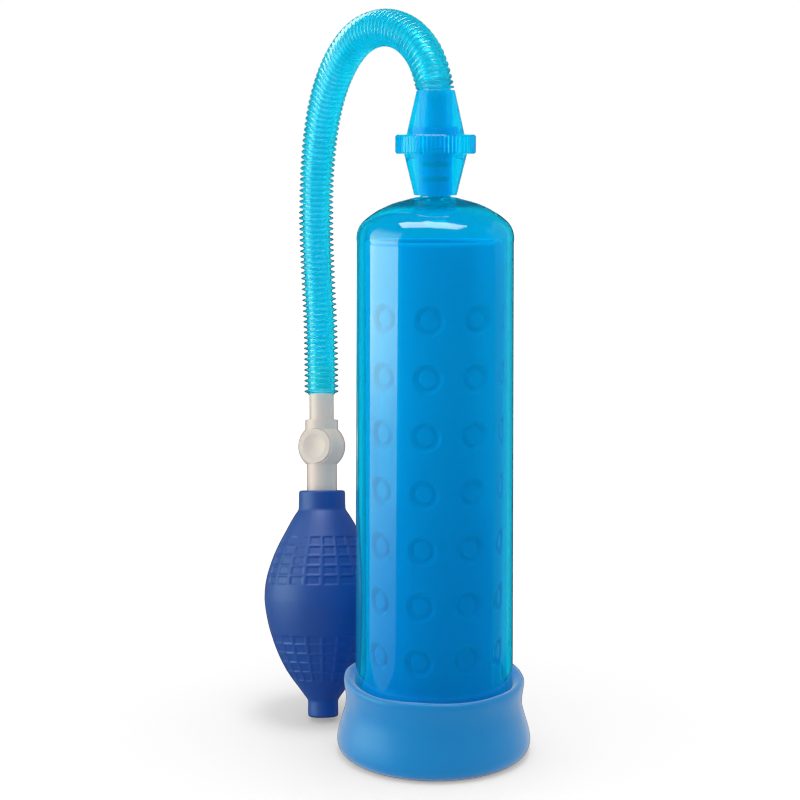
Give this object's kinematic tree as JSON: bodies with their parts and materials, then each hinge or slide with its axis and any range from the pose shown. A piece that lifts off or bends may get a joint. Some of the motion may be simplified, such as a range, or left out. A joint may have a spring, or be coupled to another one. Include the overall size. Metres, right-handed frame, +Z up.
{
  "type": "hand vacuum pump",
  "caption": "Hand vacuum pump: clear tapered cylinder over a soft liner with a flared cuff, swivel coupling, corrugated hose, release valve and squeeze bulb.",
  "frame": {"origin": "centre of the liner's mouth, in the plane the cuff stands on", "axes": "+Z up the cylinder; the bulb stands on the -X side"},
  "size_m": [0.1303, 0.0766, 0.29],
  "materials": {
    "soft_blue": "soft translucent, satin",
    "clear_blue": "clear tinted, polished",
    "coupling_blue": "clear tinted, polished",
    "hose_blue": "soft gloss",
    "bulb_blue": "satin",
    "white_plastic": "moulded gloss",
    "seal_rubber": "satin",
    "ball_steel": "polished",
    "spring_steel": "drawn wire"
  },
  "bodies": {
    "sleeve": {"liner_sleeve": "soft_blue"},
    "cylinder": {"cylinder_shell": "clear_blue", "o_ring_lower": "seal_rubber", "o_ring_upper": "seal_rubber"},
    "swivel": {"swivel_bush": "coupling_blue", "coupling_gasket": "seal_rubber"},
    "hose_set": {"coupling_socket": "coupling_blue", "hose_barb": "coupling_blue", "hose_end_sleeve": "hose_blue", "corrugated_hose": "hose_blue", "valve_body": "white_plastic", "button_spring": "spring_steel", "intake_check_seat": "white_plastic", "bulb_spigot": "white_plastic", "squeeze_bulb": "bulb_blue", "exhaust_valve_housing": "white_plastic", "exhaust_cap": "white_plastic"},
    "grip_nut": {"grip_nut": "coupling_blue"},
    "release_button": {"release_button": "white_plastic", "plunger_seal": "seal_rubber"},
    "intake_check_disc": {"intake_check_disc": "seal_rubber"},
    "exhaust_ball": {"exhaust_ball": "ball_steel"}
  },
  "joints": [
    {"name": "cylinder_lift", "type": "slide", "parent": "sleeve", "child": "cylinder", "axis": [0, 0, 1], "range_m": [0, 0.2]},
    {"name": "coupling_pull", "type": "slide", "parent": "cylinder", "child": "swivel", "axis": [0, 0, 1], "range_m": [0, 0.03]},
    {"name": "coupling_swivel", "type": "hinge", "parent": "swivel", "child": "hose_set", "pos_m": [0, 0, 0.2265], "axis": [0, 0, 1], "continuous": true},
    {"name": "grip_nut_turn", "type": "hinge", "parent": "hose_set", "child": "grip_nut", "pos_m": [0, 0, 0.238], "axis": [0, 0, 1], "continuous": true},
    {"name": "button_press", "type": "slide", "parent": "hose_set", "child": "release_button", "axis": [-0.3043, 0.931, -0.2013], "range_m": [0, 0.0015], "stiffness_N_per_m": 600, "springref_m": -0.001, "deforming": ["button_spring"]},
    {"name": "intake_check_rise", "type": "slide", "parent": "hose_set", "child": "intake_check_disc", "axis": [-0.1596, 0.1585, 0.9744], "range_m": [0, 0.001]},
    {"name": "exhaust_ball_rise", "type": "slide", "parent": "hose_set", "child": "exhaust_ball", "axis": [-0.1596, 0.1585, 0.9744], "range_m": [0, 0.001]}
  ]
}
